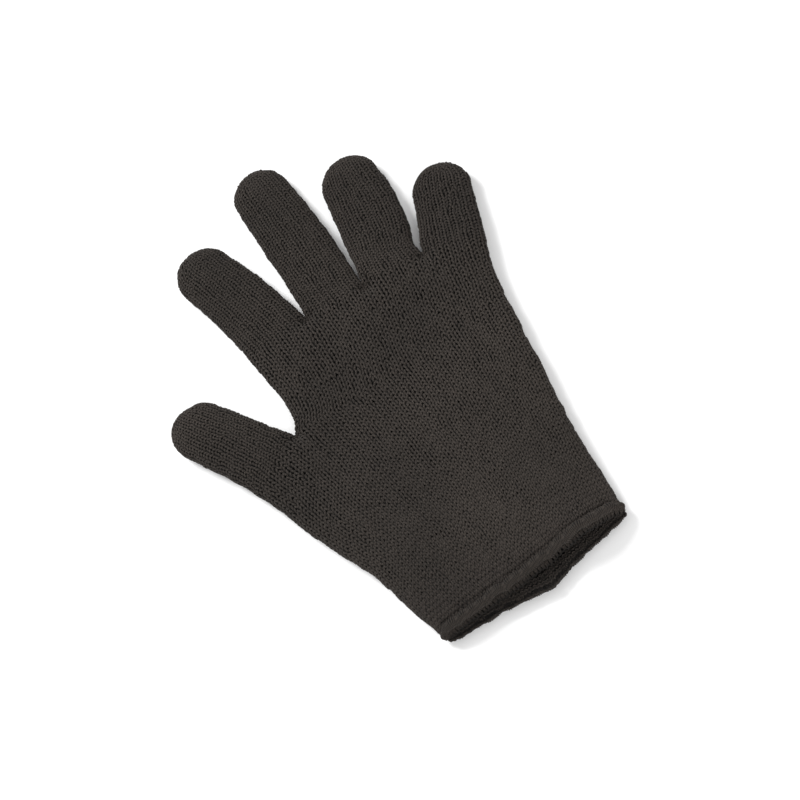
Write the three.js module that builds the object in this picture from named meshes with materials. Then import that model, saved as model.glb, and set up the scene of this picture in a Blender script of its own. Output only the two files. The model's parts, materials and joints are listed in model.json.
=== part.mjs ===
// Seamless knitted cut-resistant glove, lying palm up on a table with its fingers fanned out.
// Millimetres, +Z up, +Y from the cuff to the fingertips, thumb towards -X.
// The fabric is one knitted tube that branches, so it is cut here where it bends or where the
// knitting changes: fingers, three, four and five finger palm, thumb and cuff. Every cut lies
// in a plane of constant Y, and the hinge lines run along X on the top of each cut.
import * as THREE from "three";

// Driving dimensions.
const WALL = 1.4; // knitted fabric
const GAP = 0.3; // between neighbouring pieces
const CUFF_TOP = 48; // wrist line, where the cuff meets the palm
const THUMB_LINE = 113.5; // the thumb leaves the palm here
const LITTLE_LINE = 151; // the little finger leaves the palm here
const KNUCKLE_LINE = 158; // the other three fingers leave here
const PALM_HEIGHT = 11;
const MOUTH_HEIGHT = 15; // the cuff stands open
const FINGER_HEIGHT = 9.6; // at the root
const TIP_HEIGHT = 8.8;
const HEM_Y = 4.2; // front end of the cuff fabric, behind the rolled hem
const LIP_SAG = 5; // the lower lip of the cuff droops forward in a shallow V
const HEM_CORE = 1.3; // radius of the rolled edge
const OVERLOCK = 0.4; // radius of the overlock thread
const HEM_REACH = HEM_CORE + GAP + 2 * OVERLOCK; // the hem's whole radius
const ELASTIC = 0.45; // radius of the elastic thread laid into the cuff
const CLOSURE = 0.6; // radius of the closing seam over each fingertip
const YARN = "#36322f";
const THREAD = "#3b3734";

// Outline of the hand: [y, x] stations of the left and right edges, joined by a smooth curve.
const LEFT_EDGE = [
  [0, -42.5], [20, -47.5], [40, -51.5], [55, -57], [70, -63], [90, -68.5], [113.5, -77],
];
const LEFT_EDGE_ABOVE_THUMB = [
  [113.5, -46.9], [118, -43.8], [125, -42.6], [133, -42.2], [158, -44],
];
const RIGHT_EDGE = [
  [0, 42], [20, 43.6], [40, 45], [60, 48.4], [90, 53], [112, 56.5], [130, 61], [151, 69],
];
const RING_LITTLE = 40; // X of the crotch between ring and little finger
const MIDDLE_RING = 12.5;
const INDEX_MIDDLE = -15;

// Fingers: the root's corners, the centre and radius of the round tip, and the Y of each cut.
const DIGITS = {
  index: {
    root: [[-44, KNUCKLE_LINE], [INDEX_MIDDLE - GAP / 2, KNUCKLE_LINE]],
    tip: [-38.5, 204.5], radius: 12.2, cuts: [KNUCKLE_LINE, 178, 197.5], names: ["base", "middle", "tip"],
  },
  middle: {
    root: [[INDEX_MIDDLE + GAP / 2, KNUCKLE_LINE], [MIDDLE_RING - GAP / 2, KNUCKLE_LINE]],
    tip: [1, 221.4], radius: 12.1, cuts: [KNUCKLE_LINE, 183, 208], names: ["base", "middle", "tip"],
  },
  ring: {
    root: [[MIDDLE_RING + GAP / 2, KNUCKLE_LINE], [RING_LITTLE, KNUCKLE_LINE]],
    tip: [34.8, 199.3], radius: 12.4, cuts: [KNUCKLE_LINE, 176.5, 194], names: ["base", "middle", "tip"],
  },
  little: {
    root: [[RING_LITTLE + GAP / 2, LITTLE_LINE], [69, LITTLE_LINE]],
    tip: [63, 170.5], radius: 12, cuts: [LITTLE_LINE, 160.5, 169.8], names: ["base", "middle", "tip"],
  },
  thumb: {
    root: [[-76.9, THUMB_LINE], [-47.2, THUMB_LINE]],
    tip: [-77.5, 143], radius: 12.2, cuts: [THUMB_LINE, 132], names: ["base", "tip"],
  },
};

const glove = new THREE.Group();

function addPiece(name, geometry, color = YARN) {
  const material = new THREE.MeshStandardMaterial({ color, roughness: 0.95, metalness: 0 });
  const mesh = new THREE.Mesh(geometry, material);
  mesh.name = name;
  glove.add(mesh);
}

// X of an edge at height y along the glove, on a smooth curve through its stations.
function edgeAt(stations, y) {
  const last = stations.length - 1;
  let i = 0;
  while (i < last - 1 && y > stations[i + 1][0]) i += 1;
  const [y0, x0] = stations[i];
  const [y1, x1] = stations[i + 1];
  const slope = (k) => {
    const [ya, xa] = stations[Math.max(k - 1, 0)];
    const [yb, xb] = stations[Math.min(k + 1, last)];
    return (xb - xa) / (yb - ya);
  };
  const span = y1 - y0;
  const t = THREE.MathUtils.clamp((y - y0) / span, 0, 1);
  const rise = 3 * t * t - 2 * t * t * t;
  return (
    x0 + (x1 - x0) * rise +
    span * slope(i) * (t * t * t - 2 * t * t + t) +
    span * slope(i + 1) * (t * t * t - t * t)
  );
}

const signedPower = (value, power) => Math.sign(value) * Math.abs(value) ** power;

// One flattened cross-section in a plane of constant Y: round sides, crowned top, flat bottom.
// squareness is 2 for an ellipse and more for a boxier shape.
function section(y, left, right, low, high, sides, squareness) {
  const FLATTEN = 1.15;
  const side = low + 0.45 * (high - low);
  const points = [];
  for (let k = 0; k < sides; k += 1) {
    const angle = (2 * Math.PI * k) / sides;
    const across = signedPower(Math.cos(angle), 2 / squareness);
    const up = signedPower(Math.sin(angle), 2 / squareness);
    const z = up > 0 ? side + (high - side) * up : Math.max(low, side + FLATTEN * (side - low) * up);
    points.push(new THREE.Vector3((left + right) / 2 + ((right - left) / 2) * across, y, z));
  }
  return points;
}

// The outer and inner outline of the fabric at one station.
function fabricSection(y, left, right, height, sides, squareness) {
  return {
    outer: section(y, left, right, 0, height, sides, squareness),
    inner: section(y, left + WALL, right - WALL, WALL, height - WALL, sides, squareness),
  };
}

// A fabric tube through its sections. With poles it ends closed, at an outer and an inner point.
function sleeve(sections, poles) {
  const sides = sections[0].outer.length;
  const points = [...sections.flatMap((s) => s.outer), ...sections.flatMap((s) => s.inner)];
  const innerStart = sections.length * sides;
  const faces = [];
  const quad = (a, b, c, d) => faces.push(a, b, c, a, c, d);
  const last = sections.length - 1;
  for (let k = 0; k < sides; k += 1) {
    const next = (k + 1) % sides;
    for (let i = 0; i < last; i += 1) {
      const row = i * sides;
      const above = row + sides;
      quad(row + k, above + k, above + next, row + next);
      const [inside, insideAbove] = [innerStart + row, innerStart + above];
      quad(inside + k, inside + next, insideAbove + next, insideAbove + k);
    }
    quad(k, next, innerStart + next, innerStart + k);
    const end = last * sides;
    if (poles) {
      faces.push(end + k, points.length, end + next);
      faces.push(innerStart + end + k, innerStart + end + next, points.length + 1);
    } else {
      quad(end + k, innerStart + end + k, innerStart + end + next, end + next);
    }
  }
  if (poles) points.push(poles.outer, poles.inner);
  return new THREE.BufferGeometry().setFromPoints(points).setIndex(faces);
}

// Evenly spaced values from a to b, both ends kept.
const spread = (a, b, count) => Array.from({ length: count }, (_, i) => a + ((b - a) * i) / (count - 1));

// ---- Palm: three tubes, one for each knitted stage -------------------------------------------
const PALM_SIDES = 28;
const PALM_SQUARENESS = 4;

function palmTube(from, to, leftEdge, rightAt, stations) {
  return sleeve(
    spread(from, to, stations).map((y) =>
      fabricSection(y, edgeAt(leftEdge, y), rightAt(y), PALM_HEIGHT, PALM_SIDES, PALM_SQUARENESS),
    ),
  );
}

const rightEdge = (y) => edgeAt(RIGHT_EDGE, y);
addPiece("five_finger_palm", palmTube(CUFF_TOP + GAP, THUMB_LINE - GAP, LEFT_EDGE, rightEdge, 7));
addPiece("four_finger_palm", palmTube(THUMB_LINE, LITTLE_LINE - GAP, LEFT_EDGE_ABOVE_THUMB, rightEdge, 7));
addPiece(
  "three_finger_palm",
  palmTube(LITTLE_LINE, KNUCKLE_LINE - GAP, LEFT_EDGE_ABOVE_THUMB, () => RING_LITTLE - GAP / 2, 2),
);

// ---- Fingers and thumb ----------------------------------------------------------------------
const FINGER_SIDES = 16;
const FINGER_SQUARENESS = 2.6;

// Left and right X of the convex outline round the root corners and the tip circle, at one Y.
function digitSpan({ root, tip, radius }, y) {
  const ARC_STEPS = 48;
  const outline = root.map(([px, py]) => new THREE.Vector2(px, py));
  for (let k = 0; k < ARC_STEPS; k += 1) {
    const angle = (2 * Math.PI * k) / ARC_STEPS;
    outline.push(new THREE.Vector2(tip[0] + radius * Math.cos(angle), tip[1] + radius * Math.sin(angle)));
  }
  let left = Infinity;
  let right = -Infinity;
  for (const a of outline) {
    for (const b of outline) {
      if (a.y > y || b.y < y || a.y === b.y) continue;
      const x = a.x + ((b.x - a.x) * (y - a.y)) / (b.y - a.y);
      left = Math.min(left, x);
      right = Math.max(right, x);
    }
  }
  return [left, right];
}

// Height of a finger at one Y: it tapers a little, and falls in a quarter ellipse at the tip.
function digitSection(digit, y) {
  const [left, right] = digitSpan(digit, y);
  const start = digit.cuts[0];
  const end = digit.tip[1] + digit.radius;
  const height = THREE.MathUtils.mapLinear(y, start, end, FINGER_HEIGHT, TIP_HEIGHT);
  const past = Math.max(0, (y - digit.tip[1]) / digit.radius);
  const round = Math.sqrt(1 - Math.min(past, 1) ** 2);
  const low = ((1 - round) * height) / 2;
  const inset = WALL * Math.min(1, round * 1.4);
  return {
    outer: section(y, left, right, low, height - low, FINGER_SIDES, FINGER_SQUARENESS),
    inner: section(
      y, left + WALL, right - WALL, low + inset, height - low - inset, FINGER_SIDES, FINGER_SQUARENESS,
    ),
  };
}

function tube(digit, from, to) {
  return sleeve(spread(from, to, 3).map((y) => digitSection(digit, y)));
}

// The outline inside the round tip, on a circle and a height one wall smaller.
function insideTip({ tip, radius }, y) {
  const reach = radius - WALL;
  const round = Math.sqrt(1 - Math.min((y - tip[1]) / reach, 1) ** 2);
  const half = (TIP_HEIGHT / 2 - WALL) * round;
  const middle = TIP_HEIGHT / 2;
  return section(
    y, tip[0] - reach * round, tip[0] + reach * round, middle - half, middle + half,
    FINGER_SIDES, FINGER_SQUARENESS,
  );
}

// The closed fingertip: the inside stops one wall short of the outside.
function fingertip(digit, from) {
  const [tipX, tipY] = digit.tip;
  const roundSections = [0.15, 0.4, 0.65, 0.85].map((share) => {
    const turn = Math.sin((share * Math.PI) / 2);
    return {
      outer: digitSection(digit, tipY + digit.radius * turn).outer,
      inner: insideTip(digit, tipY + (digit.radius - WALL) * turn),
    };
  });
  return sleeve([digitSection(digit, from), digitSection(digit, tipY), ...roundSections], {
    outer: new THREE.Vector3(tipX, tipY + digit.radius, TIP_HEIGHT / 2),
    inner: new THREE.Vector3(tipX, tipY + digit.radius - WALL, TIP_HEIGHT / 2),
  });
}

// The seam that closes the fingertip: a short arc of bound-off stitches over its end.
function closingSeam({ tip, radius, root }) {
  const REACH = 0.5; // radians to each side of the finger's own direction
  const reach = radius + GAP + CLOSURE;
  const rootX = (Math.min(...root.map((p) => p[0])) + Math.max(...root.map((p) => p[0]))) / 2;
  const heading = Math.atan2(tip[1] - root[0][1], tip[0] - rootX);
  const points = spread(heading - REACH, heading + REACH, 7).map(
    (angle) =>
      new THREE.Vector3(tip[0] + reach * Math.cos(angle), tip[1] + reach * Math.sin(angle), TIP_HEIGHT / 2),
  );
  return cordAlong(new THREE.CatmullRomCurve3(points), CLOSURE, 8, 6);
}

// A solid cord of round section along an open curve.
function cordAlong(path, radius, steps, sides) {
  const outline = new THREE.Shape();
  for (let k = 0; k < sides; k += 1) {
    const angle = (2 * Math.PI * k) / sides;
    const point = [radius * Math.cos(angle), radius * Math.sin(angle)];
    if (k === 0) outline.moveTo(...point);
    else outline.lineTo(...point);
  }
  return new THREE.ExtrudeGeometry(outline, { steps, extrudePath: path, curveSegments: 1 });
}

for (const [name, digit] of Object.entries(DIGITS)) {
  digit.names.forEach((part, i) => {
    const from = digit.cuts[i];
    const isTip = i === digit.names.length - 1;
    addPiece(`${name}_${part}`, isTip ? fingertip(digit, from) : tube(digit, from, digit.cuts[i + 1] - GAP));
  });
  addPiece(`${name}_closing_seam`, closingSeam(digit), THREAD);
}

// ---- Cuff, its elastic thread, and the rolled and overlocked hem ----------------------------
const CUFF_SIDES = 28;
const CUFF_SQUARENESS = 3.4;

function cuffHeight(y) {
  const opening = Math.max(0, 1 - y / CUFF_TOP) ** 1.6;
  return PALM_HEIGHT + (MOUTH_HEIGHT - PALM_HEIGHT) * opening;
}

// How much of the lip's droop shows at y: none at the wrist, all of it at the hem.
const droopShare = (y) => ((CUFF_TOP - y) / (CUFF_TOP - HEM_Y)) ** 2;

// The lower lip droops forward most at its middle.
function droop(points, share) {
  const high = Math.max(...points.map((p) => p.z));
  const half = Math.max(...points.map((p) => Math.abs(p.x)));
  return points.map((p) => {
    const lowness = THREE.MathUtils.smoothstep(1 - p.z / high, 0.4, 1);
    const middle = Math.max(0, 1 - Math.abs(p.x - 3) / half);
    return p.clone().setY(p.y - LIP_SAG * share * lowness * middle);
  });
}

function cuffTube() {
  return sleeve(
    spread(HEM_Y + GAP, CUFF_TOP, 6).map((y) => {
      const share = droopShare(y);
      const at = fabricSection(
        y, edgeAt(LEFT_EDGE, y), rightEdge(y), cuffHeight(y), CUFF_SIDES, CUFF_SQUARENESS,
      );
      return { outer: droop(at.outer, share), inner: droop(at.inner, share) };
    }),
  );
}

// A closed loop that runs round the cuff's mouth, inset from its outer face.
function mouthLoop(y, inset, sides) {
  return droop(
    section(
      y, edgeAt(LEFT_EDGE, y) + inset, rightEdge(y) - inset, inset, cuffHeight(y) - inset,
      sides, CUFF_SQUARENESS,
    ),
    1,
  );
}

// A closed ring of cord: circles of the given radius set square to the loop at each point.
function cordRing(loop, radius, sides) {
  const points = [];
  const faces = [];
  const forward = new THREE.Vector3();
  loop.forEach((point, i) => {
    forward.subVectors(loop[(i + 1) % loop.length], loop[(i + loop.length - 1) % loop.length]).normalize();
    const ahead = new THREE.Vector3(0, 1, 0).addScaledVector(forward, -forward.y).normalize();
    const outward = new THREE.Vector3().crossVectors(ahead, forward);
    for (let k = 0; k < sides; k += 1) {
      const angle = (2 * Math.PI * k) / sides;
      points.push(
        point.clone()
          .addScaledVector(ahead, radius * Math.sin(angle))
          .addScaledVector(outward, radius * Math.cos(angle)),
      );
    }
  });
  const row = (i) => (i % loop.length) * sides;
  for (let i = 0; i < loop.length; i += 1) {
    for (let k = 0; k < sides; k += 1) {
      const next = (k + 1) % sides;
      const [a, b, c, d] = [row(i) + k, row(i) + next, row(i + 1) + next, row(i + 1) + k];
      faces.push(a, b, c, a, c, d);
    }
  }
  return new THREE.BufferGeometry().setFromPoints(points).setIndex(faces);
}

// The overlock thread winds round the rolled edge, all the way round the mouth.
function overlockRing() {
  const WRAPS = 30;
  const STEPS_PER_WRAP = 7;
  const THREAD_SIDES = 4;
  const reach = HEM_CORE + GAP + OVERLOCK;
  const centre = mouthLoop(HEM_Y - HEM_REACH, HEM_REACH, 140);
  const curve = new THREE.CatmullRomCurve3(centre, true);
  const wound = spread(0, 1, WRAPS * STEPS_PER_WRAP + 1).slice(0, -1).map((t) => {
    const forward = curve.getTangentAt(t);
    const ahead = new THREE.Vector3(0, 1, 0).addScaledVector(forward, -forward.y).normalize();
    const outward = new THREE.Vector3().crossVectors(ahead, forward);
    const angle = 2 * Math.PI * WRAPS * t;
    return curve.getPointAt(t)
      .addScaledVector(ahead, reach * Math.sin(angle))
      .addScaledVector(outward, reach * Math.cos(angle));
  });
  return cordRing(wound, OVERLOCK, THREAD_SIDES);
}

// The elastic thread lies against the inside of the cuff, wound in one long spiral.
function elasticSpiral() {
  const TURNS = 5;
  const STEPS_PER_TURN = 26;
  const START = 10;
  const END = 44;
  const inset = WALL + GAP + ELASTIC;
  const points = spread(0, TURNS, TURNS * STEPS_PER_TURN + 1).map((turn) => {
    const y = START + ((END - START) * turn) / TURNS;
    const ring = droop(
      section(
        y, edgeAt(LEFT_EDGE, y) + inset, rightEdge(y) - inset, inset, cuffHeight(y) - inset,
        STEPS_PER_TURN, CUFF_SQUARENESS,
      ),
      droopShare(y),
    );
    return ring[Math.round(turn * STEPS_PER_TURN) % STEPS_PER_TURN];
  });
  return cordAlong(new THREE.CatmullRomCurve3(points), ELASTIC, TURNS * STEPS_PER_TURN, 4);
}

addPiece("cuff", cuffTube());
addPiece("hem_roll", cordRing(mouthLoop(HEM_Y - HEM_REACH, HEM_REACH, 48), HEM_CORE, 8));
addPiece("hem_overlock_thread", overlockRing(), THREAD);
addPiece("cuff_elastic_thread", elasticSpiral(), THREAD);

// The origin is the middle of the glove's footprint.
const box = new THREE.Box3().setFromObject(glove);
glove.position.set(-(box.min.x + box.max.x) / 2, -(box.min.y + box.max.y) / 2, -box.min.z);

export default glove;
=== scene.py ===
"""Looks of a knitted cut-resistant glove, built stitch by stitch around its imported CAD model.

Every course of the fabric is one yarn that runs round the glove in plain-knit loops. The loops
lie on a surface that is worked out from the CAD nodes, so sizes and places come from the frame.
Lengths are in millimetres until a mesh is made, in the frame's own axes: +Y to the fingertips,
+Z up out of the palm, thumb towards -X.
"""
import json
import math

import bpy
import numpy as np
from mathutils import Euler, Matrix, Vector


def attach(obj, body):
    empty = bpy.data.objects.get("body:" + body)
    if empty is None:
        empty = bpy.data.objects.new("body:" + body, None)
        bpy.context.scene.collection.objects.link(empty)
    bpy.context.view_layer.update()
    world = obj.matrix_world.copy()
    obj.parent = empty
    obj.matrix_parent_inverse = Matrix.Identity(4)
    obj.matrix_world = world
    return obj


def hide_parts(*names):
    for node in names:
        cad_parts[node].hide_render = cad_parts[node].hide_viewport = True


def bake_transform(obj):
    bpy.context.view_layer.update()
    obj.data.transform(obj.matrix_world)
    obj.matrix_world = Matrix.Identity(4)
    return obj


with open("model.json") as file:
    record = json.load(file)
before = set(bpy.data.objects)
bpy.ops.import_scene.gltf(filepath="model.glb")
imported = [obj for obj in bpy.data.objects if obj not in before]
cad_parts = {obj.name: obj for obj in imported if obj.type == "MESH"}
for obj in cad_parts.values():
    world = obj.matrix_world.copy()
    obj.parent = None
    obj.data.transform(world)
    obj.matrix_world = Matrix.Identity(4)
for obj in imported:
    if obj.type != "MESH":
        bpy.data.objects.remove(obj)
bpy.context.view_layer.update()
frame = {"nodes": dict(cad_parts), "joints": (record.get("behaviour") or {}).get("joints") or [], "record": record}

MM = 0.001

# ---- Yarn and loops --------------------------------------------------------------------------
YARN_RADIUS = 0.5
YARN_FLATNESS = 0.9  # thickness over width of the yarn's section
LOOP_DEPTH = 0.58  # how far a loop runs in and out of the fabric's middle
LOOP_HEIGHT = 0.88  # half a loop's height, in courses
LOOP_CURL = 0.24  # how far a loop's legs lean, in wales
LEG_SWELL = 0.16  # legs are fuller than the heads and feet that other loops squeeze
SAMPLES = 10  # points along each loop
SIDES = 5  # corners of the yarn's section
SKIN = LOOP_DEPTH + YARN_RADIUS  # middle of the fabric to its face
FLOOR_GAP = 0.25  # keeps loops that stand out of the fabric off the floor
EDGE_INSET = 0.25  # the fabric's middle, inside the CAD outline in plan
TWIST_LENGTH = 2.6  # length of one turn of the plies

# ---- Counts of the knitting ------------------------------------------------------------------
PALM_WALES = 50  # across one face, below the thumb
PALM_COURSES = 52
HAND_WALES = 40  # across one face, above the thumb
HAND_COURSES = 21
FINGER_COURSE = 1.5  # height of one course in the fingers
THUMB_SPLIT = 10.5  # wales that leave the palm for the thumb
FINGER_SPLITS = {"index": (0, 10.5), "middle": (10.5, 20.5), "ring": (20.5, 30.5), "little": (30.5, 40)}
FINGER_WALES = {"index": 11, "middle": 11, "ring": 11, "little": 10, "thumb": 11}
TIP_WALE = 2.35  # narrowest wale before the fingertip drops two
TIP_SLACK = 2.6
FEWEST_WALES = 4
LAST_COURSE = 0.3  # share of a course left free at the fingertip
TURN_SHARE = 0.7  # courses turn square to the finger over this share of its length

# ---- How courses lie: drops from one end of a course to the other ----------------------------
THUMB_SIDE_DROP = 12.5  # outer end of the thumb's first course, under its crotch
PALM_SIDE_DROP = 13.5  # right end of the same course across the palm
LITTLE_SIDE_DROP = 11

# ---- Shape of the fabric across the glove ----------------------------------------------------
SIDE_REACH = 11.0  # the edge rounds off over this width
SIDE_POWER = 2.3
BOTTOM_POWER = 3.2
SIDE_LEVEL = 0.45  # height of the edge, as a share of the glove's thickness
BELLY = {  # how far a finger's left and right sides bulge past a straight line
    "index": (-0.8, 1.2),
    "middle": (-0.1, 1.3),
    "ring": (0.2, 2.2),
    "little": (0.2, 0),
    "thumb": (-0.3, 0.7),
}
TIP_LEAN = {  # how far a fingertip's centre lies from the CAD node's, in X and Y
    "index": (-0.7, 0.8),
    "middle": (-0.9, 0.3),
    "ring": (-0.8, 0.7),
    "little": (-0.2, 0.2),
    "thumb": (-0.4, 0.5),
}
CROTCH_DIP = 3.6  # both faces sink together within this distance of a crotch
CROTCH_INSET = 1.0  # the fabric's middle beside a crotch
CUFF_FLARE = 0.9  # how much wider than the CAD the left of the cuff is at the hem
CUFF_FLARE_START = 20  # above the wrist
SWELL = 0.4  # height of the hollows and swells
SETTLE = 9  # courses over which a finger's wales take their own spacing
OPEN_EDGE = 6  # courses over which an edge beside a crotch turns down like any other

rng = np.random.default_rng(11)


def points_of(node):
    """The CAD node's vertices in millimetres."""
    mesh = frame["nodes"][node].data
    co = np.empty(len(mesh.vertices) * 3, np.float32)
    mesh.vertices.foreach_get("co", co)
    return co.reshape(-1, 3).astype(float) / MM


def smoothstep(t):
    t = np.clip(t, 0, 1)
    return t * t * (3 - 2 * t)


def smooth_curve(xs, ys):
    """A function that joins stations by a smooth curve and goes straight on past its ends."""
    xs, ys = np.array(xs, float), np.array(ys, float)
    slopes = np.gradient(ys, xs)

    def at(q):
        i = np.clip(np.searchsorted(xs, q) - 1, 0, len(xs) - 2)
        span = xs[i + 1] - xs[i]
        free = (q - xs[i]) / span
        t = np.clip(free, 0, 1)
        rise = 3 * t**2 - 2 * t**3
        bend = slopes[i] * (t**3 - 2 * t**2 + t) + slopes[i + 1] * (t**3 - t**2)
        past = (free - t) * span * np.where(free < 0, slopes[i], slopes[i + 1])
        return ys[i] + (ys[i + 1] - ys[i]) * rise + span * bend + past

    return at


def edge_of(nodes, side):
    """X of the glove's edge as a function of Y: side is -1 for left and 1 for right."""
    OUTER_SHARE = 0.75
    RING_GAP = 1.0
    stations = []
    for node in nodes:
        co = points_of(node)
        ys = co[:, 1]
        reach = side * co[:, 0]
        if node == "cuff":  # its lower lip droops, so only its outer points make rings
            keep = reach > OUTER_SHARE * reach.max()
            ys, reach = ys[keep], reach[keep]
        order = np.argsort(ys)
        ys, reach = ys[order], reach[order]
        for ring in np.split(np.arange(len(ys)), np.nonzero(np.diff(ys) > RING_GAP)[0] + 1):
            best = ring[np.argmax(reach[ring])]
            stations.append((ys[best], side * reach[best]))
    stations.sort()
    kept = [stations[0]]
    for y, x in stations[1:]:
        if y - kept[-1][0] > RING_GAP:
            kept.append((y, x))
    return smooth_curve(*zip(*kept))


# Normalised edge profile: how the section turns from the side into the flat face.
profile_t = np.linspace(0, 1, 400) ** 2
ASPECT = 0.42  # half thickness over side reach


def side_share(t, power=SIDE_POWER):
    """Height of the face at share t of the side's reach, from 0 at the edge to 1."""
    return (1 - (1 - np.clip(t, 0, 1)) ** power) ** (1 / power)


profile_z = ASPECT * side_share(profile_t)
profile_arc = np.concatenate([[0], np.cumsum(np.hypot(np.diff(profile_t), np.diff(profile_z)))])
SIDE_EXTRA = SIDE_REACH * (profile_arc[-1] - 1)
profile_arc = profile_arc / profile_arc[-1]


def across(share, width, left, right):
    """Distance from the left edge at a share of the way across the surface.

    left and right are 1 where the fabric turns down round that edge, and 0 where it runs on.
    """
    reach = np.minimum(SIDE_REACH, width / 2)
    extra = SIDE_EXTRA * reach / SIDE_REACH
    whole = width + extra * (left + right)
    along = share * whole
    from_left = np.clip(along / (reach + extra * left), 0, 1)
    from_right = np.clip((whole - along) / (reach + extra * right), 0, 1)
    turn_left = reach * ((1 - left) * from_left + left * np.interp(from_left, profile_arc, profile_t))
    turn_right = reach * ((1 - right) * from_right + right * np.interp(from_right, profile_arc, profile_t))
    return np.where(
        from_left < 1, turn_left, np.where(from_right < 1, width - turn_right, along - extra * left)
    )


def columns(share, wales, left, right):
    """Share of the way across that a wale sits at, when half a wale is folded away at an edge."""
    u = share * wales
    sum_before = np.minimum(u, 0.5) * left + np.clip(u - 0.5, 0, wales - 1)
    return (sum_before + np.maximum(u - wales + 0.5, 0) * right) / (wales - 1 + 0.5 * (left + right))


# ---- Frame measures --------------------------------------------------------------------------
CUFF_LENGTH = 43.5  # from the cuff's upper end to the hem at the sides
INDEX_MIDDLE_DROP = 1.5  # how far each crotch lies below the first ring of a finger beside it
MIDDLE_RING_DROP = 6
RING_LITTLE_DROP = 3
THUMB_CROTCH_SHIFT = 0.6
cuff_left_edge = edge_of(["cuff", "five_finger_palm"], -1)
left_edge_above = edge_of(["four_finger_palm", "three_finger_palm"], -1)
right_edge = edge_of(["cuff", "five_finger_palm", "four_finger_palm"], 1)


def root_of(node):
    """Left and right X and the Y of a finger's first ring."""
    co = points_of(node)
    ring = co[co[:, 1] < co[:, 1].min() + 0.1]
    return ring[:, 0].min(), ring[:, 0].max(), co[:, 1].min()


def tip_of(digit):
    """Centre and radius of a fingertip's round end."""
    co = points_of(f"{digit}_tip")
    pole = co[np.argmax(co[:, 1])]
    radius = min(pole[0] - co[:, 0].min(), co[:, 0].max() - pole[0])
    return np.array([pole[0], pole[1] - radius]), radius


def left_edge(y):
    """The left edge of cuff and palm, which flares a little wider than the CAD to the hem."""
    start = wrist_y + CUFF_FLARE_START
    return cuff_left_edge(y) - CUFF_FLARE * smoothstep((start - y) / (start - hem_y))


roots = {d: root_of(f"{d}_base") for d in FINGER_WALES}
hem_y = points_of("cuff")[:, 1].max() - CUFF_LENGTH
palm_top = points_of("five_finger_palm")[:, 2].max()
finger_top = points_of("index_base")[:, 2].max()
wrist_y = points_of("five_finger_palm")[:, 1].min()
knuckle_y = roots["index"][2]

index_middle = np.array([(roots["index"][1] + roots["middle"][0]) / 2, knuckle_y - INDEX_MIDDLE_DROP])
middle_ring = np.array([(roots["middle"][1] + roots["ring"][0]) / 2, knuckle_y - MIDDLE_RING_DROP])
ring_little = np.array([(roots["ring"][1] + roots["little"][0]) / 2, roots["little"][2] - RING_LITTLE_DROP])
_, thumb_right, thumb_y = roots["thumb"]
thumb_crotch = np.array([(thumb_right + left_edge_above(thumb_y)) / 2 + THUMB_CROTCH_SHIFT, thumb_y])
crotches = np.array([index_middle, middle_ring, ring_little, thumb_crotch])

# ---- The mouth of the cuff -------------------------------------------------------------------
MOUTH_TOP = 7.4  # the upper lip over its left half
MOUTH_ARCH = 3.9  # how much more it stands up at its highest
ARCH_X = 25.0  # right of the middle of the mouth
ARCH_WIDTH = 12.0
MOUTH_OPENING = 1.6  # how late the upper lip rises: 1 would be a straight ramp from the wrist
LIP_DROOP = 2.0  # how far the lower lip sags out towards the wearer
LIP_POINT = 5.2  # how much further it does so at its point
LIP_POINT_X = 3  # right of the middle of the mouth
LIP_SHARPNESS = 2.2
HEM_OUT = 4.3  # the first course lies this far outside the hem line
HEM_LIFT = 2.4  # the lower lip passes over its own rolled edge
HEM_LIFT_START = 10.0  # from the first course
HEM_LIFT_LENGTH = 6.0
FINGER_SLOPE_START = 18  # below the knuckles, where the palm's height starts to fall to the fingers'
FINGER_SLOPE_LENGTH = 26
mouth_middle = (left_edge(hem_y) + right_edge(hem_y)) / 2
mouth_half = (right_edge(hem_y) - left_edge(hem_y)) / 2
first_course = hem_y - HEM_OUT
PAST_HEM = 1.1  # where the mouth's shape stops changing, when wrist to hem line is 1


def toward_mouth(y):
    """0 at the wrist and above, 1 at the hem line and a little more at the lips."""
    return np.clip((wrist_y - y) / (wrist_y - hem_y), 0, PAST_HEM)


def top_height(x, y):
    """Height of the fabric's upper face, away from its edges."""
    toward_fingers = smoothstep((y - knuckle_y + FINGER_SLOPE_START) / FINGER_SLOPE_LENGTH)
    height = palm_top + (finger_top - palm_top) * toward_fingers
    arch = MOUTH_TOP + MOUTH_ARCH * np.exp(-(((x - mouth_middle - ARCH_X) / ARCH_WIDTH) ** 2))
    return height + (arch - height) * toward_mouth(y) ** MOUTH_OPENING


NOISE_PEAK = 1.4  # keeps the sum of the waves about within -1 to 1


def soft_noise(shortest, longest, count=14):
    """A smooth random function of X and Y, about -1 to 1, made of waves in all directions."""
    lengths = rng.uniform(shortest, longest, count)
    headings = rng.uniform(0, math.pi, count)
    phases = rng.uniform(0, 2 * math.pi, count)

    def at(x, y):
        total = 0
        for length, heading, phase in zip(lengths, headings, phases):
            along = x * math.cos(heading) + y * math.sin(heading)
            total = total + np.sin(2 * math.pi * along / length + phase)
        return total / math.sqrt(count) / NOISE_PEAK

    return at


unevenness = soft_noise(16, 60)  # hollows and swells of fabric that has been handled
drift_x, drift_y = soft_noise(7, 30), soft_noise(7, 30)  # wales and courses that wander
DRIFT = 0.32  # how far they wander


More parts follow.
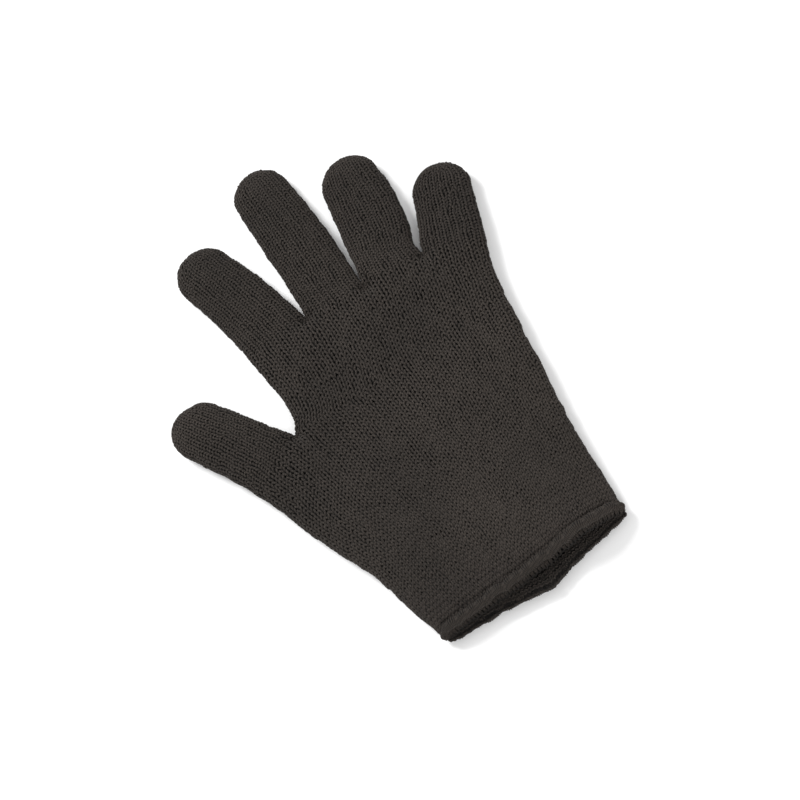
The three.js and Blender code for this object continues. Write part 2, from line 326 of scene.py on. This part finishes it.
class Panel:
    """One tube of the glove: a plan that lays its wales and courses out, and the faces over it."""

    def __init__(self, wales, courses, plan):
        self.wales = wales
        self.courses = courses
        self.plan = plan

    def count(self, course):
        """Wales across one face in a course."""
        return self.wales

    def point(self, turn, v):
        """A point of the fabric's middle. turn runs 0 to 1 over the top face and 1 to 2 back below."""
        turn = np.mod(turn, 2)
        above = turn <= 1
        x, y, inward = self.plan(np.where(above, turn, 2 - turn), v)
        x, y = x + DRIFT * drift_x(x, y), y + DRIFT * drift_y(x, y)
        near = np.min(np.hypot(x[..., None] - crotches[:, 0], y[..., None] - crotches[:, 1]), axis=-1)
        dip = 1 - np.exp(-((near / CROTCH_DIP) ** 2))
        top = top_height(x, y)
        middle = SIDE_LEVEL * top
        rise = side_share(inward / SIDE_REACH) * dip
        fall = side_share(inward / SIDE_REACH, BOTTOM_POWER) * dip
        swell = SWELL * unevenness(x, y) * rise
        upper = middle + (top - SKIN - middle) * rise + swell
        z = np.where(above, upper, middle - (middle - SKIN - FLOOR_GAP) * fall)
        over_roll = HEM_LIFT * smoothstep((first_course + HEM_LIFT_START - y) / HEM_LIFT_LENGTH)
        z = np.where(above, z, z + over_roll * fall)
        lip = toward_mouth(y) ** 2 * np.where(above, 0, fall)
        off_point = 1 - np.abs(x - mouth_middle - LIP_POINT_X) / mouth_half
        y = y - lip * (LIP_DROOP + LIP_POINT * np.clip(off_point, 0, 1) ** LIP_SHARPNESS)
        return np.stack([x, y, z], axis=-1)

    def frame_at(self, turn, v):
        """Points with their outward normals."""
        H_TURN = 0.3 / self.wales
        H_COURSE = 0.3
        round_it = self.point(turn + H_TURN, v) - self.point(turn - H_TURN, v)
        along_it = self.point(turn, v + H_COURSE) - self.point(turn, v - H_COURSE)
        normal = np.cross(round_it, along_it)
        return self.point(turn, v), normal / np.linalg.norm(normal, axis=-1, keepdims=True)


def palm_plan(wales, courses, left, right, bottom, top, pins, folded_left, parent=None, first=0):
    """Plan of a palm tube between two courses. bottom and top give Y at a share of the width."""
    shifts = [0] * len(pins)

    def left_turn(v):
        return smoothstep((v + 0.5) / OPEN_EDGE) if folded_left else np.ones_like(v)

    def own(share, v):
        part = v / courses
        folded = left_turn(v)
        q = columns(share, wales, folded, 1)
        y = bottom(q) * (1 - part) + top(q) * part
        x0, x1 = left(y) + EDGE_INSET, right(y) - EDGE_INSET
        inward = across(q, x1 - x0, folded, 1)
        x = x0 + inward
        if pins:
            ends = [0] + [p for p, _ in pins] + [1]
            x = x + part**2 * np.interp(q, ends, [0] + shifts + [0])
        return x, y, np.minimum(inward, x1 - x0 - inward)

    for i, (share, target) in enumerate(pins):
        x, _, _ = own(np.array([share]), np.array([float(courses)]))
        shifts[i] = target - x[0]

    return follow(own, wales, parent, first, (0 if folded_left else 1), 1)


FIRST_EASE = 1.2  # bounds the easing where it is asked for just before the first course


def follow(own, wales, parent, first, left, right):
    """The plan, starting on the parent's last course and easing into its own spacing."""
    if parent is None:
        return own
    span = wales - 1 + 0.5 * (left + right)

    def plan(share, v):
        x, y, inward = own(share, v)
        start = np.zeros_like(v)
        base_x, base_y, _ = own(share, start)
        place = (first + span * columns(share, wales, left, right)) / parent.wales
        to_x, to_y, _ = parent.plan(place, start + parent.courses)
        ease = np.clip(1 - v / SETTLE, 0, FIRST_EASE) ** 2
        return x + (to_x - base_x) * ease, y + (to_y - base_y) * ease, inward

    return plan


def cross(a, b):
    return a[..., 0] * b[..., 1] - a[..., 1] * b[..., 0]


class Finger(Panel):
    """A finger or the thumb: courses are lines across its axis, up to its round end."""

    def __init__(self, digit, start, end, open_sides, parent, first):
        root, (tip, radius) = roots[digit], tip_of(digit)
        tip = tip + np.array(TIP_LEAN[digit])
        radius = radius - EDGE_INSET
        base = (start + end) / 2
        length = np.linalg.norm(tip - base)
        axis = (tip - base) / length
        whole = length + radius
        courses = int((whole + SIDE_EXTRA) / FINGER_COURSE - LAST_COURSE)
        first_angle = math.atan2(*(end - start)[::-1])
        last_angle = math.atan2(axis[1], axis[0]) - math.pi / 2

        # The two ends of each course, on the finger's straight sides or on its round end.
        v = np.arange(-1.5, courses + 1.5, 0.125)
        arc = v * FINGER_COURSE
        left_over = np.clip((whole + SIDE_EXTRA - arc) / (SIDE_REACH + SIDE_EXTRA), 0.02, 1)
        s = np.where(left_over < 1, whole - SIDE_REACH * np.interp(left_over, profile_arc, profile_t), arc)
        centre = base + s[:, None] * axis
        angle = first_angle + (last_angle - first_angle) * smoothstep(s / (TURN_SHARE * length))
        direction = np.stack([np.cos(angle), np.sin(angle)], axis=-1)
        ends = []
        insets = [EDGE_INSET if is_open else CROTCH_INSET for is_open in open_sides]
        corners = root[0] + insets[0], root[1] - insets[1]
        for side, x, belly in zip((-1, 1), corners, BELLY[digit]):
            corner = np.array([x, root[2]])
            to_tip = tip - corner
            distance = np.linalg.norm(to_tip)
            heading = math.atan2(to_tip[1], to_tip[0]) - side * math.asin(radius / distance)
            line = np.array([math.cos(heading), math.sin(heading)])
            reach = cross(corner - centre, line) / cross(direction, line)
            up_line = cross(centre - corner, direction) / cross(line, direction)
            b = np.sum((centre - tip) * direction, axis=-1)
            c = np.sum((centre - tip) ** 2, axis=-1) - radius**2
            on_round = -b + side * np.sqrt(np.maximum(b * b - c, 0.01))
            tangent = math.sqrt(distance**2 - radius**2)
            part = np.clip(up_line / tangent, 0, 1)
            bulge = 4 * belly * part * (1 - part)  # a parabola, highest halfway up the side
            reach = np.where(up_line > tangent, on_round, reach + side * bulge)
            ends.append(centre + reach[:, None] * direction)
        self.v_table, self.ends, self.tip, self.radius, self.axis = v, ends, tip, radius, axis
        self.open_sides = open_sides
        self.centre_y = lambda course: np.interp(course, v, centre[:, 1])
        wales = FINGER_WALES[digit]
        plan = follow(self.own, wales, parent, first, *open_sides)
        super().__init__(wales, courses, plan)

    def own(self, share, v):
        left, right = (np.maximum(o, smoothstep((v + 0.5) / OPEN_EDGE)) for o in self.open_sides)
        q = columns(share, self.wales, left, right)
        (x0, y0), (x1, y1) = (
            (np.interp(v, self.v_table, e[:, 0]), np.interp(v, self.v_table, e[:, 1])) for e in self.ends
        )
        width = np.hypot(x1 - x0, y1 - y0)
        inward = across(q, width, left, right)
        x = x0 + (x1 - x0) * inward / width
        y = y0 + (y1 - y0) * inward / width
        inward = np.minimum(inward, width - inward)
        off_x, off_y = x - self.tip[0], y - self.tip[1]
        past_tip = off_x * self.axis[0] + off_y * self.axis[1] > 0
        to_end = np.maximum(self.radius - np.hypot(off_x, off_y), 0)
        return x, y, np.where(past_tip, np.minimum(inward, to_end), inward)

    def count(self, course):
        """Two wales are dropped each time a course near the tip gets too short for them."""
        (x0, y0), (x1, y1) = (
            (np.interp(course, self.v_table, e[:, 0]), np.interp(course, self.v_table, e[:, 1]))
            for e in self.ends
        )
        room = math.hypot(x1 - x0, y1 - y0) * (1 + SIDE_EXTRA / SIDE_REACH)
        wales = self.wales
        while wales > FEWEST_WALES and wales * TIP_WALE > room + TIP_SLACK:
            wales -= 2
        return wales


# ---- The tubes of the glove ------------------------------------------------------------------
def course_line(shares, ys):
    return lambda q: np.interp(q, shares, ys)


thumb_share = THUMB_SPLIT / PALM_WALES
crotch_y = thumb_crotch[1]

lower_palm = Panel(PALM_WALES, PALM_COURSES, palm_plan(
    PALM_WALES, PALM_COURSES, left_edge, right_edge,
    course_line([0, 1], [first_course, first_course]),
    course_line([0, thumb_share, 1], [crotch_y - THUMB_SIDE_DROP, crotch_y, crotch_y - PALM_SIDE_DROP]),
    [(thumb_share, thumb_crotch[0])], False,
))
knuckles = [FINGER_SPLITS[d][0] / HAND_WALES for d in ("middle", "ring", "little")]
upper_palm = Panel(HAND_WALES, HAND_COURSES, palm_plan(
    HAND_WALES, HAND_COURSES, left_edge_above, right_edge,
    course_line([0, 1], [crotch_y, crotch_y - PALM_SIDE_DROP]),
    course_line(
        [0, *knuckles, 1],
        [knuckle_y, index_middle[1], middle_ring[1], ring_little[1], ring_little[1] - LITTLE_SIDE_DROP],
    ),
    list(zip(knuckles, [index_middle[0], middle_ring[0], ring_little[0]])), True,
    parent=lower_palm, first=THUMB_SPLIT,
))


def on_course(panel, wale):
    """Plan place of a wale on a panel's last course."""
    x, y, _ = panel.plan(np.array([wale / panel.wales]), np.array([float(panel.courses)]))
    return np.array([x[0], y[0]])


fingers = {}
for digit, (first, last) in FINGER_SPLITS.items():
    outer = (1 if digit == "index" else 0, 1 if digit == "little" else 0)
    fingers[digit] = Finger(
        digit, on_course(upper_palm, first), on_course(upper_palm, last), outer, upper_palm, first
    )
fingers["thumb"] = Finger(
    "thumb", on_course(lower_palm, 0), on_course(lower_palm, THUMB_SPLIT), (1, 0), lower_palm, 0
)


# ---- Meshes of yarn --------------------------------------------------------------------------
def tube_strands(strands, sides):
    """One mesh from strands of yarn. A strand is (points, outward, half widths, closed, lift).

    lift says how far each point stands out of the fabric, in shares of the yarn's radius. The mesh
    keeps it for both faces: how far each spot stands out of the face that it looks out of. The
    yarn's colour turns it into painted shade and painted light.
    """
    verts, faces, uvs, lifts = [], [], [], []
    start = 0
    angle = 2 * math.pi * np.arange(sides) / sides
    for points, outward, (wide, thick), closed, lift in strands:
        m = len(points)
        wide, thick, lift = (np.broadcast_to(value, m)[:, None] for value in (wide, thick, lift))
        ahead = np.roll(points, -1, axis=0) - np.roll(points, 1, axis=0)
        if not closed:
            ahead[0], ahead[-1] = points[1] - points[0], points[-1] - points[-2]
        ahead /= np.linalg.norm(ahead, axis=1, keepdims=True)
        side = np.cross(ahead, outward)
        side /= np.linalg.norm(side, axis=1, keepdims=True)
        up = np.cross(side, ahead)
        ring = (
            points[:, None]
            + side[:, None] * (wide * np.cos(angle))[:, :, None]
            + up[:, None] * (thick * np.sin(angle))[:, :, None]
        )
        verts.append(ring.reshape(-1, 3))
        facing = np.sin(angle)
        # Painted shade: the yarn's sides, and faces that lie deep in the fabric, get a low lift that darkens their
        # colour.
        lifts.append((np.abs(facing) + lift * np.clip(2 * facing, -1, 1)).ravel())
        spans = m if closed else m - 1
        i = np.arange(spans)[:, None]
        k = np.arange(sides)[None, :]
        here, there, nxt = start + i * sides, start + ((i + 1) % m) * sides, (k + 1) % sides
        faces.append(np.stack([here + k, here + nxt, there + nxt, there + k], axis=-1).reshape(-1, 4))
        step = np.linalg.norm(np.roll(points, -1, axis=0) - points, axis=1)
        length = np.concatenate([[0], np.cumsum(step)])[: spans + 1] / TWIST_LENGTH
        a, b = length[:-1, None] + 0 * k, length[1:, None] + 0 * k
        u0, u1 = (k + 0 * i) / sides, (k + 1 + 0 * i) / sides
        uvs.append(np.stack([u0, a, u1, a, u1, b, u0, b], axis=-1).reshape(-1, 8))
        start += m * sides
        if not closed:
            for end in (start - m * sides, start - sides):
                fan = end + np.arange(sides)
                if end == start - m * sides:
                    fan = fan[::-1]
                for j in range(1, sides - 1, 2):
                    last = fan[j + 2] if j + 2 < sides else fan[j + 1]
                    faces.append(np.array([[fan[0], fan[j], fan[j + 1], last]]))
                    uvs.append(np.zeros((1, 8)))
    return [np.concatenate(parts) for parts in (verts, faces, uvs, lifts)]


def make_piece(name, strands, material, sides=SIDES):
    verts, faces, uvs, lifts = tube_strands(strands, sides)
    mesh = bpy.data.meshes.new(name)
    mesh.vertices.add(len(verts))
    mesh.vertices.foreach_set("co", (verts * MM).ravel())
    mesh.loops.add(len(faces) * 4)
    mesh.loops.foreach_set("vertex_index", faces.ravel().astype(np.int32))
    mesh.polygons.add(len(faces))
    mesh.polygons.foreach_set("loop_start", np.arange(0, len(faces) * 4, 4, dtype=np.int32))
    layer = mesh.uv_layers.new(name="yarn")
    layer.data.foreach_set("uv", uvs.ravel())
    mesh.attributes.new("lift", "FLOAT", "POINT").data.foreach_set("value", lifts.astype(np.float32))
    mesh.update(calc_edges=True)
    mesh.shade_smooth()
    mesh.materials.append(material)
    piece = bpy.data.objects.new(name, mesh)
    bpy.context.scene.collection.objects.link(piece)
    return piece


CURL_WANDER, WALE_WANDER, COURSE_WANDER, HEIGHT_WANDER = 0.05, 0.07, 0.05, 0.07
DEPTH_WANDER = 0.1  # in millimetres, where the others are shares of a wale, a course or a loop


def course_strand(panel, course):
    """The yarn of one course, once round the glove."""
    stitches = 2 * panel.count(course + 0.5)
    t = 2 * math.pi * np.arange(stitches * SAMPLES) / SAMPLES

    def wander(amount):
        """A small random change that runs smoothly from stitch to stitch."""
        knots = rng.normal(0, amount, stitches)
        return np.interp(np.arange(len(t)) / SAMPLES, np.arange(stitches + 1), np.append(knots, knots[0]))

    wale = t / (2 * math.pi) + (LOOP_CURL + wander(CURL_WANDER)) * np.sin(2 * t) + wander(WALE_WANDER)
    v = course + 0.5 + wander(COURSE_WANDER) - LOOP_HEIGHT * (1 + wander(HEIGHT_WANDER)) * np.cos(t)
    place, outward = panel.frame_at(wale / (stitches / 2), v)
    depth = wander(DEPTH_WANDER) - LOOP_DEPTH * np.cos(2 * t)
    points = place + outward * depth[:, None]
    wide = YARN_RADIUS * (1 - LEG_SWELL * np.cos(2 * t))
    return points, outward, (wide, wide * YARN_FLATNESS), True, depth / YARN_RADIUS


def knit(name, panel, first, last, material):
    """Courses first to last of a panel as one piece."""
    return make_piece(name, [course_strand(panel, c) for c in range(first, last)], material)


# ---- Materials -------------------------------------------------------------------------------
YARN_SHEEN = 0.03


def yarn_material(name, dark, light, plies, roughness=0.9):
    """Plied, slightly hairy yarn: colour from two tones of fibre with painted shade and light on it,
    plies and fibres as bump.
    """
    material = bpy.data.materials.new(name)
    material.use_nodes = True
    tree = material.node_tree
    nodes, links = tree.nodes, tree.links
    shader = nodes["Principled BSDF"]
    shader.inputs["Roughness"].default_value = roughness
    shader.inputs["Specular IOR Level"].default_value = 0.25
    shader.inputs["Sheen Weight"].default_value = YARN_SHEEN
    shader.inputs["Sheen Roughness"].default_value = 0.55
    shader.inputs["Sheen Tint"].default_value = (0.9, 0.86, 0.8, 1)

    place = nodes.new("ShaderNodeTexCoord")
    fibre = nodes.new("ShaderNodeTexNoise")
    fibre.inputs["Scale"].default_value = 2600
    fibre.inputs["Detail"].default_value = 3
    links.new(place.outputs["Object"], fibre.inputs["Vector"])
    wear = nodes.new("ShaderNodeTexNoise")
    wear.inputs["Scale"].default_value = 22
    wear.inputs["Detail"].default_value = 4
    links.new(place.outputs["Object"], wear.inputs["Vector"])

    mix = nodes.new("ShaderNodeMix")
    mix.data_type = "RGBA"
    mix.inputs["A"].default_value = (*dark, 1)
    mix.inputs["B"].default_value = (*light, 1)
    both = nodes.new("ShaderNodeMath")
    both.operation = "MULTIPLY_ADD"
    both.inputs[1].default_value = 0.4
    links.new(wear.outputs["Fac"], both.inputs[0])
    links.new(fibre.outputs["Fac"], both.inputs[2])
    spread = nodes.new("ShaderNodeMapRange")
    spread.inputs["From Min"].default_value = 0.45
    spread.inputs["From Max"].default_value = 0.95
    links.new(both.outputs["Value"], spread.inputs["Value"])
    links.new(spread.outputs["Result"], mix.inputs["Factor"])

    # Plies wind round the yarn: bands that slant over its own coordinates.
    along = nodes.new("ShaderNodeUVMap")
    along.uv_map = "yarn"
    split = nodes.new("ShaderNodeSeparateXYZ")
    links.new(along.outputs["UV"], split.inputs["Vector"])
    wound = nodes.new("ShaderNodeMath")
    wound.operation = "ADD"
    links.new(split.outputs["X"], wound.inputs[0])
    links.new(split.outputs["Y"], wound.inputs[1])
    turns = nodes.new("ShaderNodeMath")
    turns.operation = "MULTIPLY"
    turns.inputs[1].default_value = plies * math.pi
    links.new(wound.outputs["Value"], turns.inputs[0])
    wave = nodes.new("ShaderNodeMath")
    wave.operation = "SINE"
    links.new(turns.outputs["Value"], wave.inputs[0])
    ridge = nodes.new("ShaderNodeMath")
    ridge.operation = "ABSOLUTE"
    links.new(wave.outputs["Value"], ridge.inputs[0])

    # Painted shade: the colour darkens in the grooves between the plies and lightens a little on their crests.
    ply_groove_shade = nodes.new("ShaderNodeMapRange")
    ply_groove_shade.inputs["To Min"].default_value = 0.45
    ply_groove_shade.inputs["To Max"].default_value = 1.15
    links.new(ridge.outputs["Value"], ply_groove_shade.inputs["Value"])
    # Painted shade and light: the colour darkens on fibres deep between the loops and brightens on those that
    # stand out, by the mesh's lift.
    lift = nodes.new("ShaderNodeAttribute")
    lift.attribute_name = "lift"
    depth = nodes.new("ShaderNodeMapRange")
    depth.interpolation_type = "SMOOTHSTEP"
    depth.inputs["From Min"].default_value = -0.6
    depth.inputs["From Max"].default_value = 2.0
    depth.inputs["To Min"].default_value = 0.12
    depth.inputs["To Max"].default_value = 1.5
    links.new(lift.outputs["Fac"], depth.inputs["Value"])
    both_shades = nodes.new("ShaderNodeMath")
    both_shades.operation = "MULTIPLY"
    links.new(ply_groove_shade.outputs["Result"], both_shades.inputs[0])
    links.new(depth.outputs["Result"], both_shades.inputs[1])
    shaded = nodes.new("ShaderNodeVectorMath")
    shaded.operation = "SCALE"
    links.new(mix.outputs["Result"], shaded.inputs[0])
    links.new(both_shades.outputs["Value"], shaded.inputs["Scale"])
    links.new(shaded.outputs["Vector"], shader.inputs["Base Color"])

    ply_bump = nodes.new("ShaderNodeBump")
    ply_bump.inputs["Strength"].default_value = 0.7
    ply_bump.inputs["Distance"].default_value = 0.00022
    links.new(ridge.outputs["Value"], ply_bump.inputs["Height"])
    hair_bump = nodes.new("ShaderNodeBump")
    hair_bump.inputs["Strength"].default_value = 0.5
    hair_bump.inputs["Distance"].default_value = 0.0001
    links.new(fibre.outputs["Fac"], hair_bump.inputs["Height"])
    links.new(ply_bump.outputs["Normal"], hair_bump.inputs["Normal"])
    links.new(hair_bump.outputs["Normal"], shader.inputs["Normal"])
    return material


knit_yarn = yarn_material("knit_yarn", (0.0077, 0.0061, 0.005), (0.0376, 0.0305, 0.0255), plies=3)
seam_thread = yarn_material("seam_thread", (0.0173, 0.0139, 0.0115), (0.0357, 0.0289, 0.0242), plies=2)
elastic_thread = yarn_material(
    "elastic_thread", (0.0145, 0.012, 0.0102), (0.0241, 0.02, 0.0174), plies=2, roughness=0.8
)


# ---- Knitted pieces in place of the CAD nodes, which are hidden; the palm's ride its body -----
joint_at = {j["name"]: Vector(j["pos_m"]) for j in frame["joints"]}
body_of = {n: b for b, members in frame["record"]["behaviour"]["bodies"].items() for n in members}


def bend(piece, parent, child, hinge, before, after):
    """Bakes the piece's transform into its mesh."""
    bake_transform(piece)


def course_at(panel, y):
    """The first course whose middle lies past Y."""
    courses = np.arange(panel.courses)
    if isinstance(panel, Finger):
        middle = panel.centre_y(courses + 0.5)
    else:
        middle = panel.plan(np.full(panel.courses, 0.5), courses + 0.5)[1]
    return int(np.searchsorted(middle, y))


WRIST_BEND = (14, -14)  # a stretch of the glove's length round the wrist
PAST_WRIST = 20  # the cuff's pieces of fabric reach this far above the wrist
BLEND_SHARE = 0.7  # a share of the room to the next cut, round a finger joint
LONGEST_BLEND = 7
BASE_BLEND = (0.2, 9)  # a stretch round a finger's base, within its own fabric only
cuff_end = course_at(lower_palm, wrist_y + PAST_WRIST)
cuff_half = cuff_end // 2
palm_half = (cuff_end + PALM_COURSES) // 2
for name, first, last in (("cuff_knit_lower", 0, cuff_half), ("cuff_knit_upper", cuff_half, cuff_end)):
    piece = knit(name, lower_palm, first, last, knit_yarn)
    bend(piece, "palm", "cuff", "wrist_bend", *WRIST_BEND)
    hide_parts("cuff")
for name, panel, first, last, node in (
    ("palm_knit_heel", lower_palm, cuff_end, palm_half, "five_finger_palm"),
    ("palm_knit_middle", lower_palm, palm_half, PALM_COURSES, "five_finger_palm"),
    ("palm_knit_upper", upper_palm, 0, HAND_COURSES, "four_finger_palm"),
):
    piece = knit(name, panel, first, last, knit_yarn)
    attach(piece, "palm")
    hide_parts(node)
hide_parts("three_finger_palm")

SEGMENTS = {"thumb": ("base", "tip")}
for digit, finger in fingers.items():
    parts = SEGMENTS.get(digit, ("base", "middle", "tip"))
    hinges = [joint_at[f"{digit}_{part}_bend"].y / MM for part in parts]
    cuts = [course_at(finger, (low + high) / 2 + 0.5) for low, high in zip(hinges, hinges[1:])]
    starts, ends = [0, *cuts], [*cuts, finger.courses]
    above = "palm"
    for i, part in enumerate(parts):
        body = f"{digit}_{part}"
        piece = knit(f"{body}_knit", finger, starts[i], ends[i], knit_yarn)
        room = (hinges[i + 1] - hinges[i]) / 2 if i + 1 < len(hinges) else (hinges[i] - hinges[i - 1]) / 2
        reach = min(BLEND_SHARE * room, LONGEST_BLEND)
        before, after = (BASE_BLEND[0], min(room, BASE_BLEND[1])) if i == 0 else (-reach, reach)
        bend(piece, above, body, f"{body}_bend", before, after)
        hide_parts(body)
        above = body


# ---- Seam threads ----------------------------------------------------------------------------
LIT = 0.6  # lift of threads that lie on top, which the yarn's colour paints as in full light
THREAD_FLATNESS = 0.8


def wound_strand(path, outward, radius, thread, wraps, steps, closed):
    """A thread wound in a helix round a path."""
    count = wraps * steps + (0 if closed else 1)
    at = np.arange(count) / (wraps * steps)
    knots = np.linspace(0, 1, len(path) + (1 if closed else 0))
    if closed:
        path, outward = np.vstack([path, path[:1]]), np.vstack([outward, outward[:1]])
    spot = np.stack([np.interp(at, knots, path[:, i]) for i in range(3)], axis=-1)
    out = np.stack([np.interp(at, knots, outward[:, i]) for i in range(3)], axis=-1)
    ahead = np.gradient(spot, axis=0)
    ahead /= np.linalg.norm(ahead, axis=1, keepdims=True)
    side = np.cross(ahead, out)
    side /= np.linalg.norm(side, axis=1, keepdims=True)
    up = np.cross(side, ahead)
    angle = 2 * math.pi * wraps * at[:, None]
    spoke = side * np.cos(angle) + up * np.sin(angle)
    radius = np.interp(at, knots, np.append(radius, radius[:1]) if closed else radius)
    return spot + radius[:, None] * spoke, spoke, (thread, thread * THREAD_FLATNESS), closed, LIT


CLOSURE_REACH = 0.55  # radians to each side of the finger's own direction
CLOSURE_LIFT = 0.5
CLOSURE_POINTS = 30
CLOSURE_WRAPS = 9
CLOSURE_STEPS = 9  # points in each wrap
CLOSURE_WAVE = (0.2, 31)  # how high its stitches wander and how fast, a radian
CLOSURE_CORE, CLOSURE_RADIUS, CLOSURE_THREAD = 0.45, 0.62, 0.42
for digit, finger in fingers.items():
    heading = math.atan2(finger.axis[1], finger.axis[0])
    angle = np.linspace(heading + CLOSURE_REACH, heading - CLOSURE_REACH, CLOSURE_POINTS)
    reach = finger.radius + CLOSURE_LIFT
    x, y = finger.tip[0] + reach * np.cos(angle), finger.tip[1] + reach * np.sin(angle)
    z = SIDE_LEVEL * top_height(x, y) + CLOSURE_WAVE[0] * np.sin(angle * CLOSURE_WAVE[1])
    path = np.stack([x, y, z], axis=-1)
    outward = np.tile([0.0, 0.0, 1.0], (len(path), 1))
    winding = np.full(CLOSURE_POINTS, CLOSURE_RADIUS)
    strand = wound_strand(path, outward, winding, CLOSURE_THREAD, CLOSURE_WRAPS, CLOSURE_STEPS, False)
    core = (path, outward, (CLOSURE_CORE, CLOSURE_CORE), False, LIT)
    piece = make_piece(f"{digit}_closing_stitches", [core, strand], seam_thread)
    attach(piece, body_of[f"{digit}_closing_seam"])
    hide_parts(f"{digit}_closing_seam")

# ---- Rolled hem and its overlock thread -------------------------------------------------------
HEM_RADIUS = 1.75  # on the upper lip
HEM_THIN_RADIUS = 1.2  # at the corners and under the lower lip
HEM_COURSE = 1.2  # the roll's middle under the upper lip, counted from the first course
HEM_OVER = 0.65  # courses that it lies further out under the lower lip
HEM_TUCK = 0.09  # share of the turn beside each edge where the roll is sunk into the fabric
HEM_POINTS = 600
WRAP_RADIUS = 0.3
HEM_WRAPS = 290
HEM_WRAP_STEPS = 10  # points in each wrap
HEM_SIDES = 14
HEM_SINK = 0.2  # how far the roll's middle stands off the fabric's at the corners
HEM_CLEARANCE = 0.3  # and how far beyond its own radius elsewhere
WRAP_CLEARANCE = 0.12
HEM_WAVES = (9, 17, 23, 41)  # small bulges along the roll, in half turns
HEM_WAVE_HEIGHT = 0.16
hem_turn = np.linspace(0, 2, HEM_POINTS, endpoint=False)
from_edge = np.minimum(np.mod(hem_turn, 1), 1 - np.mod(hem_turn, 1))
away = smoothstep(from_edge / HEM_TUCK)
hem_radius = HEM_THIN_RADIUS + (HEM_RADIUS - HEM_THIN_RADIUS) * away * (hem_turn < 1)
hem_path, hem_out = lower_palm.frame_at(hem_turn, HEM_COURSE - HEM_OVER * away * (hem_turn > 1))
hem_path = hem_path + hem_out * (HEM_SINK + (hem_radius + HEM_CLEARANCE) * away)[:, None]
waves = [np.sin(math.pi * k * hem_turn + rng.uniform(0, 6)) for k in HEM_WAVES]
bulge = HEM_WAVE_HEIGHT * sum(waves)
hem_path = hem_path + np.stack([0 * bulge, bulge, 0.8 * bulge], axis=-1)
hem_path[:, 2] = np.maximum(hem_path[:, 2], hem_radius + 2 * WRAP_RADIUS)
hem_out = np.tile([0.0, -1.0, 0.0], (HEM_POINTS, 1))
hem_strand = (hem_path, hem_out, (hem_radius, hem_radius), True, LIT)
hem = make_piece("hem_roll_knit", [hem_strand], knit_yarn, HEM_SIDES)
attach(hem, "cuff")
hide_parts("hem_roll")

winding = hem_radius + WRAP_CLEARANCE
wrap = wound_strand(hem_path, hem_out, winding, WRAP_RADIUS, HEM_WRAPS, HEM_WRAP_STEPS, True)
overlock = make_piece("hem_overlock_wraps", [wrap], seam_thread)
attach(overlock, "cuff")
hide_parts("hem_overlock_thread")

# ---- Elastic laid inside the cuff -------------------------------------------------------------
ELASTIC_RADIUS = 0.32
ELASTIC_TURNS = 11
ELASTIC_FIRST, ELASTIC_LAST = 2.0, 22.0  # courses
steps = ELASTIC_TURNS * PALM_WALES * 2 * 3
turn = np.linspace(0, 2 * ELASTIC_TURNS, steps)
place, outward = lower_palm.frame_at(turn, np.linspace(ELASTIC_FIRST, ELASTIC_LAST, steps))
inside = place - outward * (SKIN + ELASTIC_RADIUS)
spiral = (inside, outward, (ELASTIC_RADIUS, ELASTIC_RADIUS), False, LIT)
elastic = make_piece("cuff_elastic_spiral", [spiral], elastic_thread)
bend(elastic, "palm", "cuff", "wrist_bend", *WRIST_BEND)
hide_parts("cuff_elastic_thread")


# ---- Floor, light and camera ------------------------------------------------------------------
FLOOR_SIZE = 6  # metres, as are the lamps' places and sizes
LAMPS = (  # name, place, size, power in watts
    ("key", (-0.45, 1.15, 1.05), 0.6, 26),
    ("front", (0.1, -1.4, 1.0), 0.8, 16),
)


def make_stage():
    bpy.ops.mesh.primitive_plane_add(size=FLOOR_SIZE, location=(0, 0, 0))
    floor = bpy.context.object
    floor.name = "floor"
    paint = bpy.data.materials.new("floor_paint")
    paint.use_nodes = True
    paint.node_tree.nodes["Principled BSDF"].inputs["Base Color"].default_value = (0.93, 0.93, 0.93, 1)
    paint.node_tree.nodes["Principled BSDF"].inputs["Roughness"].default_value = 0.9
    floor.data.materials.append(paint)

    world = bpy.data.worlds.new("studio")
    world.use_nodes = True
    world.node_tree.nodes["Background"].inputs["Color"].default_value = (1, 1, 1, 1)
    world.node_tree.nodes["Background"].inputs["Strength"].default_value = 0.62
    bpy.context.scene.world = world

    for name, spot, size, power in LAMPS:
        light = bpy.data.lights.new(name, "AREA")
        light.size = size
        light.energy = power
        lamp = bpy.data.objects.new(name, light)
        lamp.location = spot
        lamp.rotation_euler = (Vector((0, 0, 0)) - Vector(spot)).to_track_quat("-Z", "Y").to_euler()
        bpy.context.scene.collection.objects.link(lamp)


CAMERA_DISTANCE = 1.2
CAMERA_ELEVATION = math.radians(60)
CAMERA_ROLL = math.radians(-36)
CAMERA_LENS = 131.7
AIM = Vector((3.95, -12.94, 0)) * MM  # just below the middle of the palm


def make_camera():
    data = bpy.data.cameras.new("camera")
    data.lens = CAMERA_LENS
    data.sensor_width = 36
    data.clip_start = 0.01
    camera = bpy.data.objects.new("camera", data)
    back = Vector((0, -math.cos(CAMERA_ELEVATION), math.sin(CAMERA_ELEVATION)))
    camera.location = AIM + CAMERA_DISTANCE * back
    facing = back.to_track_quat("Z", "Y")
    camera.rotation_euler = (facing @ Euler((0, 0, CAMERA_ROLL)).to_quaternion()).to_euler()
    bpy.context.scene.collection.objects.link(camera)
    bpy.context.scene.camera = camera


make_stage()
make_camera()
bpy.context.scene.view_settings.view_transform = "Standard"
